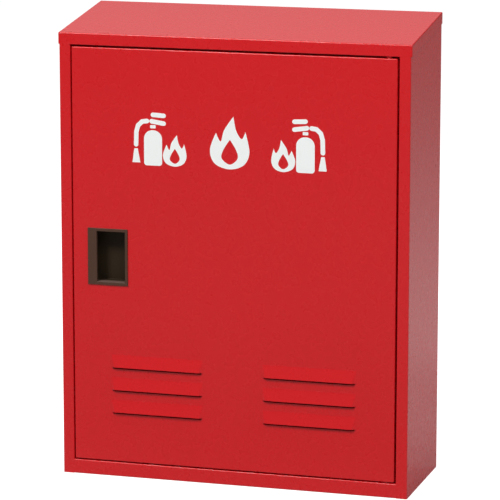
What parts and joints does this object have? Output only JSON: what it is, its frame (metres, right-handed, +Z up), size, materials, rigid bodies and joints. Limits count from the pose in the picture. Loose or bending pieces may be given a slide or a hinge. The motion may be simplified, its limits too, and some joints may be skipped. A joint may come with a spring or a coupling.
{
  "type": "fire extinguisher cabinet",
  "caption": "Red sheet-steel box for fire extinguishers with a sloped roof lid, an inset louvred door on pivot pins and a brown recessed pull.",
  "frame": {"origin": "on the floor, under the middle of the whole outline (louvres included)", "axes": "+Z up; the front with the door faces -Y; +X is to the right of someone who faces the door, and is the hinge side"},
  "size_m": [0.501, 0.182, 0.6498],
  "materials": {
    "red_paint": "semi-gloss baked enamel",
    "brown_plastic": "satin moulded",
    "zinc_steel": "zinc plated",
    "black_plastic": "moulded",
    "grey_rubber": "matt"
  },
  "bodies": {
    "cabinet": {"side_left": "red_paint", "side_right": "red_paint", "back_panel": "red_paint", "floor_pan": "red_paint", "bottom_rail": "red_paint", "head_rail": "red_paint", "side_stop": "red_paint", "head_stop": "red_paint", "sill_stop": "red_paint", "roof_lid": "red_paint", "pivot_pin_upper": "zinc_steel", "pivot_pin_lower": "zinc_steel", "magnet_catch": "black_plastic", "magnet_pole": "zinc_steel", "buffer_upper": "grey_rubber", "buffer_lower": "grey_rubber"},
    "door": {"door_pan": "red_paint", "door_stiffener": "red_paint", "hinge_plate_upper": "zinc_steel", "hinge_plate_lower": "zinc_steel", "handle_cup": "brown_plastic", "handle_retainer": "brown_plastic", "catch_strike": "zinc_steel"}
  },
  "joints": [
    {"name": "door_hinge", "type": "hinge", "parent": "cabinet", "child": "door", "pos_m": [0.2175, -0.0805, 0.314], "axis": [0, 0, 1], "range_deg": [0, 110]}
  ]
}
